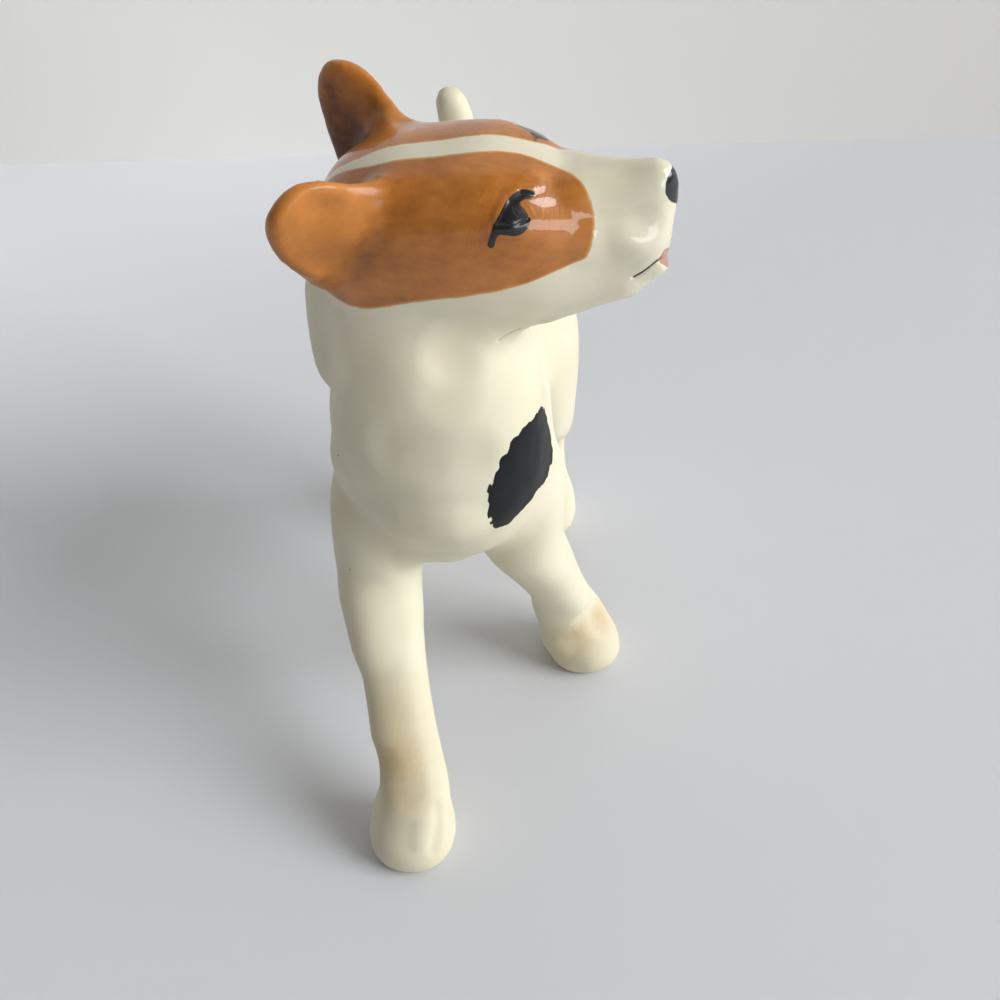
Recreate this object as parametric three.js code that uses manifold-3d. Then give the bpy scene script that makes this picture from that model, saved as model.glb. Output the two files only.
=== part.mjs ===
// A glazed earthenware figure of a standing terrier with its head turned to its own left.
// The dog faces -Y, its left side is +X and +Z is up. Lengths are in millimetres.
// It is cast and luted: a hollow body, a hollow head with the upper neck, two ears, a tongue,
// four legs and a tail, each a clay piece of its own that ends on a thin seam of slip.

import * as THREE from 'three';
import { mergeVertices } from 'three/addons/utils/BufferGeometryUtils.js';
import Module from 'manifold-3d';

const wasm = await Module();
wasm.setup();

// Clay and seams
const CAST_WALL = 3.2;
const SLIP_SEAM = 0.3;
const VENT_DIAMETER = 5;

// Heights of the back line and of the underside
const WITHERS_HEIGHT = 76;
const BACK_HEIGHT = 73.5;
const LOIN_HEIGHT = 73;
const CROUP_HEIGHT = 70.5;
const RUMP_HEIGHT = 60;
const BRISKET_HEIGHT = 40;
const BELLY_HEIGHT = 42.5;
const FLANK_HEIGHT = 46.5;
const GROIN_HEIGHT = 49;

// Half widths of the body and the neck
const CHEST_HALF = 16.4;
const RIB_HALF = 15.8;
const LOIN_HALF = 13.8;
const CROUP_HALF = 14.2;
const RUMP_HALF = 9.5;
const NECK_HALF = 14.6;
const THROAT_HALF = 12.6;

// Places along the body, from the breast back to the rump
const BREAST_Y = -19.6;
const THROAT_Y = -15.1;
const POLL_Y = 4.4;
const NAPE_Y = 6;
const ELBOW_Y = 4;
const WITHERS_Y = 12;
const RIB_Y = 18;
const LOIN_Y = 29;
const HIP_Y = 40;
const CROUP_Y = 49;
const RUMP_BEHIND_CROUP = 9;

// The breast stands a little to the dog's left, and the turned neck swings to its right
const CHEST_SWING = 0.8;
const NECK_SWING = 2.2;
const BREAST_HEIGHT = 74;
const NAPE_RISE = 10;
const NECK_INTO_SKULL = 4;
const NECK_ON_HEAD = 13;

// The head is carried above the withers, placed by the middle of the skull and turned from +X
const HEAD_CARRIAGE = 25;
const SKULL = new THREE.Vector3(-2, -6, WITHERS_HEIGHT + HEAD_CARRIAGE);
const HEAD_YAW = THREE.MathUtils.degToRad(-2);
const HEAD_LIFT = THREE.MathUtils.degToRad(4);
const HEAD_ROLL = THREE.MathUtils.degToRad(7);
const SKULL_TOP = 11.6;
const SKULL_HALF = 11.2;
const JAW_DROP = 13;
const OCCIPUT_BACK = 10.4;
const BROW_AHEAD = 15;
const BROW_HALF = 9.8;
const STOP_AHEAD = 20;
const MUZZLE_TOP = 7;
const MUZZLE_HALF = 6.4;
const CHIN_DROP = 10;
const LIP_AHEAD = 31.6;
const NOSE_SIZE = new THREE.Vector3(2.6, 3, 3.2);
const NOSE_SUNK = 0.5;
const NOSE_ABOVE = 0.6;

// The ears, in the head's own axes: ahead of, beside and above the middle of the skull
const EAR_ROOT = new THREE.Vector3(-0.7, 6, 0.2);
const LEFT_EAR_TIP = new THREE.Vector3(-11, 14.4, 13.2);
const RIGHT_EAR_TIP = new THREE.Vector3(-10.3, -15.2, 12.2);
const EAR_SPREAD = new THREE.Vector3(0.53, -0.15, 0.83);
const EAR_HALF = 10.4;
const EAR_THICKNESS = 2.8;
const EAR_CUP = 3;

// The tongue
const TONGUE_HALF = 3.9;
const TONGUE_THICKNESS = 2;
const TONGUE_LENGTH = 7;
const TONGUE_BEHIND_LIP = 2.6;
const TONGUE_DROP = 2;

// The legs and the tail
const FORELEG_HALF = 5.8;
const HINDLEG_HALF = 4.6;
const THIGH_HALF = 8.5;
const HAUNCH_OUT = 19.6;
const PAW_HALF = 7.2;
const PAW_HEIGHT = 11;
const RIGHT_FORE_PAW = new THREE.Vector2(-2.3, -30.6);
const LEFT_FORE_PAW = new THREE.Vector2(24, 14);
const RIGHT_HIND_PAW = new THREE.Vector2(-13.6, 45);
const LEFT_HIND_PAW = new THREE.Vector2(13.4, 51);
const RIGHT_FORE_PASTERN = new THREE.Vector2(-2.7, -27);
const LEFT_FORE_PASTERN = new THREE.Vector2(21, 13.6);
const LEFT_FORE_TURN = 16;
const RIGHT_ELBOW = new THREE.Vector2(-10.2, -4);
const LEFT_ELBOW = new THREE.Vector2(12.4, 3);
const RIGHT_FORELEG_BOW = new THREE.Vector2(-1, 2.6);
const LEFT_FORELEG_BOW = new THREE.Vector2(0.8, -0.9);
const TAIL_TIP = new THREE.Vector3(-4.8, 50.5, 96);
const TAIL_RADIUS = 3.2;

// Further than the figure reaches, for the level cut through the neck
const PAST_ALL = 150;

// Squareness of the sections, where 2 is an ellipse
const BODY_SQUARENESS = 2.15;
const LIMB_SQUARENESS = 2.2;

// Fineness of the modelled surfaces
const AROUND = 28;
const LEG_AROUND = 20;
const SMALL_AROUND = 14;
const CAVITY_AROUND = 16;
const BODY_STEPS = 42;
const BODY_CAVITY_STEPS = 18;
const HEAD_STEPS = 30;
const HEAD_CAVITY_STEPS = 8;
const LEG_STEPS = 24;
const TAIL_STEPS = 14;
const TONGUE_STEPS = 8;
const EAR_STEPS = 10;

// Places that follow from the sizes above
const RUMP_Y = CROUP_Y + RUMP_BEHIND_CROUP;
const NAPE_HEIGHT = WITHERS_HEIGHT + NAPE_RISE;
const NECK_TOP_HEIGHT = SKULL.z - NECK_INTO_SKULL;
const NECK_SEAM_HEIGHT = NECK_TOP_HEIGHT - NECK_ON_HEAD;
const STOP_HALF = (BROW_HALF + MUZZLE_HALF) / 2;
const MUZZLE_AHEAD = STOP_AHEAD * 0.57 + LIP_AHEAD * 0.43;

const WHITE_GLAZE = { color: 0xf0ecd6, roughness: 0.16, metalness: 0 };
const BROWN_GLAZE = { color: 0xa9662f, roughness: 0.16, metalness: 0 };
const PINK_GLAZE = { color: 0xba9380, roughness: 0.2, metalness: 0 };

const { lerp } = THREE.MathUtils;

// One number on a smooth curve through four values, between the second and the third
function between(a, b, c, d, t) {
  const slopeB = (c - a) / 2;
  const slopeC = (d - b) / 2;
  const t2 = t * t;
  const t3 = t2 * t;
  return b * (2 * t3 - 3 * t2 + 1) + slopeB * (t3 - 2 * t2 + t) + c * (3 * t2 - 2 * t3) + slopeC * (t3 - t2);
}

// The section at a place along a list of stations, with every size read off a smooth curve
function sectionAt(stations, place) {
  const last = stations.length - 1;
  const index = Math.min(Math.floor(place), last - 1);
  const near = (step) => stations[THREE.MathUtils.clamp(index + step, 0, last)];
  const section = {};
  for (const key of Object.keys(stations[0])) {
    section[key] = between(near(-1)[key], near(0)[key], near(1)[key], near(2)[key], place - index);
  }
  return section;
}

// A ring of points about a section's centre. Its half width runs along one axis, its rise and
// drop along the other, and a squareness of 2 is an ellipse.
function ringOf(section, axes, around, inset) {
  const centre = new THREE.Vector3(section.x, section.y, section.z);
  const { across, upward } = axes(section);
  const power = 2 / section.square;
  const points = [];
  for (let i = 0; i < around; i += 1) {
    const angle = (2 * Math.PI * i) / around;
    const aside = Math.sign(Math.cos(angle)) * Math.abs(Math.cos(angle)) ** power;
    const above = Math.sign(Math.sin(angle)) * Math.abs(Math.sin(angle)) ** power;
    const reach = above > 0 ? section.rise : section.drop;
    const point = centre.clone();
    point.addScaledVector(across, aside * (section.half - inset));
    point.addScaledVector(upward, above * (reach - inset));
    points.push(point);
  }
  return points;
}

// A closed skin through rings of equal count, with a fan over each end, facing out
function skinOver(rings) {
  const around = rings[0].length;
  const ends = [rings[0], rings[rings.length - 1]].map((ring) => {
    const middle = new THREE.Vector3();
    ring.forEach((point) => middle.addScaledVector(point, 1 / around));
    return middle;
  });
  const points = [...rings.flat(), ...ends];
  const firstEnd = points.length - 2;
  const lastEnd = points.length - 1;
  const lastRing = (rings.length - 1) * around;
  const index = [];
  for (let i = 0; i < around; i += 1) {
    const next = (i + 1) % around;
    for (let row = 0; row < rings.length - 1; row += 1) {
      const a = row * around;
      const b = a + around;
      index.push(a + i, a + next, b + next, a + i, b + next, b + i);
    }
    index.push(firstEnd, next, i);
    index.push(lastEnd, lastRing + i, lastRing + next);
  }
  const geometry = new THREE.BufferGeometry().setFromPoints(points);
  geometry.setIndex(index);
  return volumeOf(points, index) > 0 ? geometry : turnedOut(geometry);
}

function volumeOf(points, index) {
  let volume = 0;
  for (let i = 0; i < index.length; i += 3) {
    const [a, b, c] = [points[index[i]], points[index[i + 1]], points[index[i + 2]]];
    volume += a.dot(b.clone().cross(c)) / 6;
  }
  return volume;
}

function turnedOut(geometry) {
  const index = Array.from(geometry.index.array);
  for (let i = 0; i < index.length; i += 3) {
    [index[i + 1], index[i + 2]] = [index[i + 2], index[i + 1]];
  }
  geometry.setIndex(index);
  return geometry;
}

// A skin over stations, from one place along them to another
function loft(stations, axes, { steps, around = AROUND, inset = 0, from = 0, to = stations.length - 1 }) {
  const rings = [];
  for (let i = 0; i <= steps; i += 1) {
    const place = from + ((to - from) * i) / steps;
    rings.push(ringOf(sectionAt(stations, place), axes, around, inset));
  }
  return skinOver(rings);
}

function solidOf(geometry) {
  const bare = geometry.clone();
  bare.deleteAttribute('normal');
  bare.deleteAttribute('uv');
  const merged = mergeVertices(bare);
  const vertProperties = Float32Array.from(merged.attributes.position.array);
  const triVerts = Uint32Array.from(merged.index.array);
  return new wasm.Manifold(new wasm.Mesh({ numProp: 3, vertProperties, triVerts }));
}

function geometryOf(solid) {
  const mesh = solid.getMesh();
  const geometry = new THREE.BufferGeometry();
  geometry.setAttribute('position', new THREE.BufferAttribute(Float32Array.from(mesh.vertProperties), 3));
  geometry.setIndex(Array.from(mesh.triVerts));
  geometry.computeVertexNormals();
  return geometry;
}

// The same surface moved outwards, which cuts a seam's clearance in the piece luted onto it
function swollen(geometry, distance) {
  const grown = geometry.clone();
  grown.computeVertexNormals();
  const { position, normal } = grown.attributes;
  for (let i = 0; i < position.count; i += 1) {
    position.setXYZ(
      i,
      position.getX(i) + normal.getX(i) * distance,
      position.getY(i) + normal.getY(i) * distance,
      position.getZ(i) + normal.getZ(i) * distance,
    );
  }
  return solidOf(grown);
}

// Body and neck: sections lean from upright across the body to level across the neck
const bodyAxes = ({ lean }) => ({
  across: new THREE.Vector3(1, 0, 0),
  upward: new THREE.Vector3(0, Math.sin(lean), Math.cos(lean)),
});

// A body section spans from a point on the back line to a point on the underside
function bodySection(backY, backZ, underY, underZ, half, swing = 0) {
  const back = new THREE.Vector2(backY, backZ);
  const under = new THREE.Vector2(underY, underZ);
  const middle = back.clone().add(under).multiplyScalar(0.5);
  const reach = back.distanceTo(under) / 2;
  const lean = Math.atan2(backY - underY, backZ - underZ);
  const centre = { x: swing, y: middle.x, z: middle.y };
  return { ...centre, lean, half, rise: reach, drop: reach, square: BODY_SQUARENESS };
}

// From the belly forwards the sections turn upright to level, their upper ends climbing from the
// withers to the nape and their lower ends from the brisket to the breast on quarter ellipses
function chestSection(degrees, swing) {
  const turn = THREE.MathUtils.degToRad(degrees);
  const along = Math.sin(turn);
  const up = 1 - Math.cos(turn);
  return bodySection(
    lerp(WITHERS_Y, NAPE_Y, along),
    lerp(WITHERS_HEIGHT, NAPE_HEIGHT, up),
    lerp(ELBOW_Y, BREAST_Y, along),
    lerp(BRISKET_HEIGHT, BREAST_HEIGHT, up),
    lerp(CHEST_HALF, NECK_HALF, up),
    swing,
  );
}

// The neck goes on from nape and breast to its end inside the skull
function neckSection(share) {
  return bodySection(
    lerp(NAPE_Y, POLL_Y, share),
    lerp(NAPE_HEIGHT, NECK_TOP_HEIGHT, share),
    lerp(BREAST_Y, THROAT_Y, share),
    lerp(BREAST_HEIGHT, NECK_TOP_HEIGHT, share),
    lerp(NECK_HALF, THROAT_HALF, share),
    lerp(CHEST_SWING, -NECK_SWING, Math.sqrt(share)),
  );
}

// The rump closes round a point at its own height
function rumpSection(share, inwards) {
  const y = RUMP_Y - RUMP_HALF * inwards;
  const reach = RUMP_HALF * share * 0.84;
  return bodySection(y, RUMP_HEIGHT + reach, y, RUMP_HEIGHT - reach, RUMP_HALF * share);
}

const croupSection = bodySection(
  lerp(CROUP_Y, RUMP_Y, 0.33),
  lerp(CROUP_HEIGHT, RUMP_HEIGHT, 0.12),
  lerp(CROUP_Y, RUMP_Y, 0.44),
  lerp(GROIN_HEIGHT, RUMP_HEIGHT, 0.14),
  lerp(CROUP_HALF, RUMP_HALF, 0.5),
);
const hipSection = bodySection(
  HIP_Y,
  lerp(LOIN_HEIGHT, CROUP_HEIGHT, 0.16),
  HIP_Y,
  lerp(FLANK_HEIGHT, GROIN_HEIGHT, 0.4),
  CROUP_HALF,
);

const bodyStations = [
  rumpSection(0.28, 0),
  rumpSection(0.75, 0.12),
  croupSection,
  hipSection,
  bodySection(LOIN_Y, LOIN_HEIGHT, LOIN_Y, FLANK_HEIGHT, LOIN_HALF),
  bodySection(RIB_Y, BACK_HEIGHT, lerp(ELBOW_Y, RIB_Y, 0.8), BELLY_HEIGHT, RIB_HALF),
  chestSection(0, CHEST_SWING / 2),
  chestSection(30, CHEST_SWING),
  chestSection(55, CHEST_SWING),
  chestSection(75, CHEST_SWING),
  neckSection(0),
  neckSection(0.33),
  neckSection(0.65),
  neckSection(1),
];

// Head: sections stand across the head's own forward axis, and lean forward at the muzzle
const headAxes = ({ lean }) => ({
  across: new THREE.Vector3(0, 1, 0),
  upward: new THREE.Vector3(Math.sin(lean), 0, Math.cos(lean)),
});

function headSection(ahead, top, bottom, half, widest, leanDegrees, square) {
  const z = bottom + (top - bottom) * widest;
  const lean = THREE.MathUtils.degToRad(leanDegrees);
  return { x: ahead, y: 0, z, lean, half, rise: top - z, drop: z - bottom, square };
}

const headStations = [
  headSection(-OCCIPUT_BACK, SKULL_TOP * -0.09, JAW_DROP * -0.6, SKULL_HALF * 0.45, 0.5, -18, 2),
  headSection(OCCIPUT_BACK * -0.88, SKULL_TOP * 0.26, JAW_DROP * -0.85, SKULL_HALF * 0.75, 0.5, -14, 2),
  headSection(OCCIPUT_BACK * -0.57, SKULL_TOP * 0.71, -JAW_DROP, SKULL_HALF * 0.95, 0.5, -8, 2.2),
  headSection(OCCIPUT_BACK * -0.05, SKULL_TOP * 0.95, JAW_DROP * -1.03, SKULL_HALF, 0.52, 0, 2.4),
  headSection(BROW_AHEAD * 0.33, SKULL_TOP * 0.98, -JAW_DROP, SKULL_HALF, 0.55, 0, 2.5),
  headSection(BROW_AHEAD * 0.7, SKULL_TOP, JAW_DROP * -0.98, SKULL_HALF * 0.96, 0.58, 0, 2.5),
  headSection(BROW_AHEAD, SKULL_TOP * 0.89, JAW_DROP * -0.92, BROW_HALF, 0.58, 3, 2.4),
  headSection(STOP_AHEAD, MUZZLE_TOP * 1.17, CHIN_DROP * -1.16, STOP_HALF, 0.55, 4, 2.3),
  headSection(MUZZLE_AHEAD, MUZZLE_TOP * 1.03, CHIN_DROP * -1.06, MUZZLE_HALF, 0.52, 6, 2.3),
  headSection(LIP_AHEAD * 0.94, MUZZLE_TOP, -CHIN_DROP, MUZZLE_HALF * 0.86, 0.52, 8, 2.3),
  headSection(LIP_AHEAD, MUZZLE_TOP * 0.89, CHIN_DROP * -0.88, MUZZLE_HALF * 0.7, 0.52, 9, 2.2),
  headSection(LIP_AHEAD * 1.03, MUZZLE_TOP * 0.54, CHIN_DROP * -0.6, MUZZLE_HALF * 0.4, 0.52, 9, 2),
];

const headPose = new THREE.Matrix4().compose(
  SKULL,
  new THREE.Quaternion().setFromEuler(new THREE.Euler(HEAD_ROLL, -HEAD_LIFT, HEAD_YAW, 'ZYX')),
  new THREE.Vector3(1, 1, 1),
);

function noseOf() {
  const nose = new THREE.SphereGeometry(1, CAVITY_AROUND, SMALL_AROUND);
  nose.scale(NOSE_SIZE.x, NOSE_SIZE.y, NOSE_SIZE.z);
  nose.translate(LIP_AHEAD - NOSE_SUNK, 0, MUZZLE_TOP - NOSE_SIZE.z + NOSE_ABOVE);
  return nose;
}

// An ear is a cupped tongue of clay from inside the skull out to a round tip
function earOf(tip) {
  const side = Math.sign(tip.y);
  const mirror = new THREE.Vector3(1, side, 1);
  const root = EAR_ROOT.clone().multiply(mirror);
  const spread = EAR_SPREAD.clone().multiply(mirror);
  const axis = tip.clone().sub(root);
  const length = axis.length();
  axis.normalize();
  spread.addScaledVector(axis, -spread.dot(axis)).normalize();
  const facing = new THREE.Vector3().crossVectors(spread, axis).multiplyScalar(side);
  const rings = [];
  for (let i = 0; i < EAR_STEPS; i += 1) {
    const turn = (Math.PI / 2) * (i / EAR_STEPS);
    const t = Math.sin(turn) ** 1.6;
    const half = EAR_HALF * Math.cos(turn) ** 0.9;
    const cup = EAR_CUP * (1 - t * 0.7);
    const ring = [];
    for (let k = 0; k < AROUND; k += 1) {
      const angle = (2 * Math.PI * k) / AROUND;
      const forward = (Math.sin(angle) * EAR_THICKNESS) / 2 + cup * (Math.cos(angle) ** 2 - 0.5);
      const point = root.clone().addScaledVector(axis, t * length);
      point.addScaledVector(spread, Math.cos(angle) * half);
      point.addScaledVector(facing, forward);
      ring.push(point);
    }
    rings.push(ring);
  }
  return skinOver(rings);
}

function tongueOf() {
  const stations = [
    { x: TONGUE_LENGTH * -0.5, z: TONGUE_THICKNESS * 0.3, half: TONGUE_HALF * 0.9 },
    { x: 0, z: TONGUE_THICKNESS * 0.2, half: TONGUE_HALF },
    { x: TONGUE_LENGTH * 0.32, z: TONGUE_THICKNESS * -0.2, half: TONGUE_HALF },
    { x: TONGUE_LENGTH * 0.48, z: TONGUE_THICKNESS * -0.9, half: TONGUE_HALF * 0.75 },
    { x: TONGUE_LENGTH * 0.5, z: TONGUE_THICKNESS * -1.3, half: TONGUE_HALF * 0.35 },
  ].map((station) => ({
    ...station,
    y: 0,
    lean: 0,
    rise: TONGUE_THICKNESS / 2,
    drop: TONGUE_THICKNESS / 2,
    square: LIMB_SQUARENESS,
  }));
  const tongue = loft(stations, headAxes, { steps: TONGUE_STEPS, around: SMALL_AROUND });
  tongue.translate(LIP_AHEAD - TONGUE_BEHIND_LIP, 0, -TONGUE_DROP);
  return tongue;
}

// Legs: level sections from the paw up into the body, each turned the way the foot points
const legAxes = ({ turn }) => ({
  across: new THREE.Vector3(Math.cos(turn), Math.sin(turn), 0),
  upward: new THREE.Vector3(Math.sin(turn), -Math.cos(turn), 0),
});

function legSection(place, z, half, front, back, turnDegrees = 0) {
  const turn = THREE.MathUtils.degToRad(turnDegrees);
  return { x: place.x, y: place.y, z, half, rise: front, drop: back, square: LIMB_SQUARENESS, turn };
}

// The foot's own sections, from the flat sole up towards the pastern, and the pastern's
function pawSections(paw, pastern, turnDegrees) {
  const section = (height, shift, half, toe, heel) => legSection(
    paw.clone().lerp(pastern, shift),
    PAW_HEIGHT * height,
    PAW_HALF * half,
    PAW_HALF * toe,
    PAW_HALF * heel,
    turnDegrees,
  );
  return [
    section(0, 0, 0.83, 0.86, 0.75),
    section(0.1, 0, 0.96, 1, 0.88),
    section(0.35, 0.08, 1, 1.05, 0.9),
    section(0.7, 0.4, 0.9, 0.86, 0.84),
    section(1.14, 1, 0.84, 0.8, 0.75),
  ];
}

// A foreleg bows from its pastern up to the elbow, and its arm ends inside the chest
function foreStations(paw, pastern, elbow, bow, turnDegrees) {
  const pasternHeight = PAW_HEIGHT * 1.14;
  const shoulder = elbow.clone().lerp(new THREE.Vector2(0, ELBOW_Y), 0.22);
  const shank = (share, half, front, back) => legSection(
    pastern.clone().lerp(elbow, share).addScaledVector(bow, Math.sin(Math.PI * share)),
    lerp(pasternHeight, BRISKET_HEIGHT, share),
    FORELEG_HALF * half,
    FORELEG_HALF * front,
    FORELEG_HALF * back,
    turnDegrees * (1 - share),
  );
  const arm = (share, half, front, back) => legSection(
    elbow.clone().lerp(shoulder, share ** 2),
    lerp(BRISKET_HEIGHT, BREAST_HEIGHT, share * 0.74),
    FORELEG_HALF * half,
    FORELEG_HALF * front,
    FORELEG_HALF * back,
  );
  return [
    ...pawSections(paw, pastern, turnDegrees),
    shank(0.22, 0.93, 0.93, 0.93),
    shank(0.5, 0.94, 0.98, 1.03),
    shank(0.76, 1.08, 1.16, 1.3),
    shank(1, 1.22, 1.34, 1.6),
    arm(0.4, 1.3, 1.36, 1.7),
    arm(0.7, 1.28, 1.3, 1.6),
    arm(1, 1, 1.03, 1.38),
  ];
}

// A hind leg stands under the hip, and its thigh lies along the flank out to the haunch
function hindStations(paw, side) {
  const pastern = paw.clone().add(new THREE.Vector2(0, PAW_HALF * 0.35));
  const shank = (height, behind, half, front, back) => legSection(
    new THREE.Vector2(side * (HAUNCH_OUT - HINDLEG_HALF * 1.48), paw.y + PAW_HALF * behind),
    LOIN_HEIGHT * height,
    HINDLEG_HALF * half,
    HINDLEG_HALF * front,
    HINDLEG_HALF * back,
  );
  const thigh = (height, inside, behind, half, front, back) => legSection(
    new THREE.Vector2(side * (HAUNCH_OUT - THIGH_HALF * inside), HIP_Y + THIGH_HALF * behind),
    LOIN_HEIGHT * height,
    THIGH_HALF * half,
    THIGH_HALF * front,
    THIGH_HALF * back,
  );
  return [
    ...pawSections(paw, pastern, side * 4).slice(0, -1),
    legSection(pastern, PAW_HEIGHT * 1.1, HINDLEG_HALF, HINDLEG_HALF * 0.96, HINDLEG_HALF * 1.09),
    shank(0.247, 0.7, 0.96, 1, 1.17),
    shank(0.356, 0.28, 1.09, 1.43, 1.52),
    thigh(0.466, 0.74, 0.47, 0.68, 1.12, 1.12),
    thigh(0.589, 0.88, 0.12, 0.86, 1.41, 1.29),
    thigh(0.726, 1, -0.12, 1, 1.53, 1.47),
    thigh(0.836, 1.08, -0.12, 0.96, 1.29, 1.35),
    thigh(0.904, 1.24, 0, 0.59, 0.71, 0.82),
  ];
}

const rightForeStations = foreStations(
  RIGHT_FORE_PAW,
  RIGHT_FORE_PASTERN,
  RIGHT_ELBOW,
  RIGHT_FORELEG_BOW,
  0,
);
const leftForeStations = foreStations(
  LEFT_FORE_PAW,
  LEFT_FORE_PASTERN,
  LEFT_ELBOW,
  LEFT_FORELEG_BOW,
  LEFT_FORE_TURN,
);

// The tail rises from inside the croup, a little towards the dog's right
function tailSection(share, behind, radius) {
  const root = new THREE.Vector2(0, CROUP_Y);
  const place = root.lerp(TAIL_TIP, share ** 1.6);
  place.y += TAIL_RADIUS * behind;
  const z = lerp(RUMP_HEIGHT, TAIL_TIP.z, share);
  return legSection(place, z, TAIL_RADIUS * radius, TAIL_RADIUS * radius, TAIL_RADIUS * radius);
}

const tailStations = [
  tailSection(0, -0.3, 1.5),
  tailSection(0.22, 0.5, 1.32),
  tailSection(0.46, 0.68, 1.1),
  tailSection(0.7, 0.5, 1),
  tailSection(0.9, 0.1, 0.9),
  tailSection(0.975, 0, 0.66),
  tailSection(1, 0, 0.28),
];

// The seam between the body and the head is a level cut through the neck, ahead of the withers
function neckAbove(level) {
  const block = new THREE.BoxGeometry(PAST_ALL, PAST_ALL, PAST_ALL);
  block.translate(0, WITHERS_Y - PAST_ALL / 2, level + PAST_ALL / 2);
  return solidOf(block);
}

const bodyForm = loft(bodyStations, bodyAxes, { steps: BODY_STEPS });
const neckCavityEnd = bodyStations.length - 1.2;
const bodyCavity = solidOf(
  loft(bodyStations, bodyAxes, {
    steps: BODY_CAVITY_STEPS,
    around: CAVITY_AROUND,
    inset: CAST_WALL,
    from: 1.7,
    to: neckCavityEnd,
  }),
);
const headForm = loft(headStations, headAxes, { steps: HEAD_STEPS });
headForm.applyMatrix4(headPose);
const headCavity = solidOf(
  loft(headStations, headAxes, {
    steps: HEAD_CAVITY_STEPS,
    around: CAVITY_AROUND,
    inset: CAST_WALL,
    from: 2,
    to: 7,
  }).applyMatrix4(headPose),
);
const nose = solidOf(noseOf().applyMatrix4(headPose));
const tongueForm = tongueOf().applyMatrix4(headPose);

const ventRadius = VENT_DIAMETER / 2;
const ventBore = new THREE.CylinderGeometry(ventRadius, ventRadius, 4 * CAST_WALL, SMALL_AROUND);
ventBore.rotateX(Math.PI / 2);
ventBore.translate(0, lerp(RIB_Y, LOIN_Y, 0.5), FLANK_HEIGHT);

const bodyAndNeck = solidOf(bodyForm);
const torso = bodyAndNeck
  .subtract(neckAbove(NECK_SEAM_HEIGHT - SLIP_SEAM / 2))
  .subtract(bodyCavity)
  .subtract(solidOf(ventBore));
const headOuter = bodyAndNeck
  .intersect(neckAbove(NECK_SEAM_HEIGHT + SLIP_SEAM / 2))
  .add(solidOf(headForm))
  .add(nose);
const head = headOuter
  .subtract(bodyCavity)
  .subtract(headCavity)
  .subtract(swollen(tongueForm, SLIP_SEAM));

const bodyReach = swollen(bodyForm, SLIP_SEAM);
const headReach = swollen(geometryOf(headOuter), SLIP_SEAM);

const figure = new THREE.Group();

function addPiece(name, solid, glaze) {
  const mesh = new THREE.Mesh(geometryOf(solid), new THREE.MeshStandardMaterial(glaze));
  mesh.name = name;
  figure.add(mesh);
}

addPiece('torso', torso, WHITE_GLAZE);
addPiece('head', head, WHITE_GLAZE);
addPiece('tongue', solidOf(tongueForm), PINK_GLAZE);
for (const [name, tip] of [['ear_left', LEFT_EAR_TIP], ['ear_right', RIGHT_EAR_TIP]]) {
  addPiece(name, solidOf(earOf(tip).applyMatrix4(headPose)).subtract(headReach), BROWN_GLAZE);
}
const limbs = {
  foreleg_right: rightForeStations,
  foreleg_left: leftForeStations,
  hindleg_right: hindStations(RIGHT_HIND_PAW, -1),
  hindleg_left: hindStations(LEFT_HIND_PAW, 1),
};
for (const [name, stations] of Object.entries(limbs)) {
  const limb = loft(stations, legAxes, { steps: LEG_STEPS, around: LEG_AROUND });
  addPiece(name, solidOf(limb).subtract(bodyReach), WHITE_GLAZE);
}
const tail = loft(tailStations, legAxes, { steps: TAIL_STEPS, around: SMALL_AROUND });
addPiece('tail', solidOf(tail).subtract(bodyReach), WHITE_GLAZE);

// The figure stands on the origin, under the middle of its own box
const box = new THREE.Box3().setFromObject(figure);
const middle = box.getCenter(new THREE.Vector3());
figure.position.set(-middle.x, -middle.y, -box.min.z);

export default figure;
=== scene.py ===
"""A glazed earthenware terrier, dressed over the fixed frame of its clay pieces.

One skin is grown from the frame's solids, softened, modelled with strokes of a tool, and parted
along the luted seams. Its colours are signed distances to brush outlines, held on its points.
Lengths are in millimetres, and the lamps' are in metres. Places on the head are in its own
directions: along the muzzle, to the dog's left and up.
"""
import math

import bmesh
import bpy
import numpy as np
from mathutils import Euler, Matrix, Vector
from mathutils.bvhtree import BVHTree


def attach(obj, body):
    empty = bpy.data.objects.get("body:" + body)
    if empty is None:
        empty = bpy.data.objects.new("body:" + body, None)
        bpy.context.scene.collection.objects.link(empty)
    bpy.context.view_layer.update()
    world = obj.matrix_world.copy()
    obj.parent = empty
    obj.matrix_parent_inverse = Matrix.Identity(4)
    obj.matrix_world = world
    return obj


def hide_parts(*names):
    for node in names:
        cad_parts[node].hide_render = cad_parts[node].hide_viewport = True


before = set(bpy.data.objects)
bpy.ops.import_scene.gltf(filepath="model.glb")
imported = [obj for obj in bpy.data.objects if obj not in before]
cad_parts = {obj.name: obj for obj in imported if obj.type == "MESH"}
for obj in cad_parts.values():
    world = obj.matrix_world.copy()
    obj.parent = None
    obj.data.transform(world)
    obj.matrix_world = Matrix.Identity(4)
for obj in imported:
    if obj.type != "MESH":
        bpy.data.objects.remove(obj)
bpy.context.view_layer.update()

MM = 0.001

# Camera
CAMERA_AT = (17.163, -138.114, 165.0)
CAMERA_PITCH = 42
CAMERA_AZIMUTH = 6
CAMERA_LENS = 38.88
CAMERA_SENSOR = 36
CAMERA_CLIP = (0.01, 10)

# The clay pieces
LIMBS = ("foreleg_right", "foreleg_left", "hindleg_right", "hindleg_left", "tail")
EARS = ("ear_left", "ear_right")
SKIN_NODES = ("torso", "head", "tongue") + EARS + LIMBS
SLOTS = {"ear_left": "brown_glaze", "ear_right": "brown_glaze", "tongue": "pink_glaze"}

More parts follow.
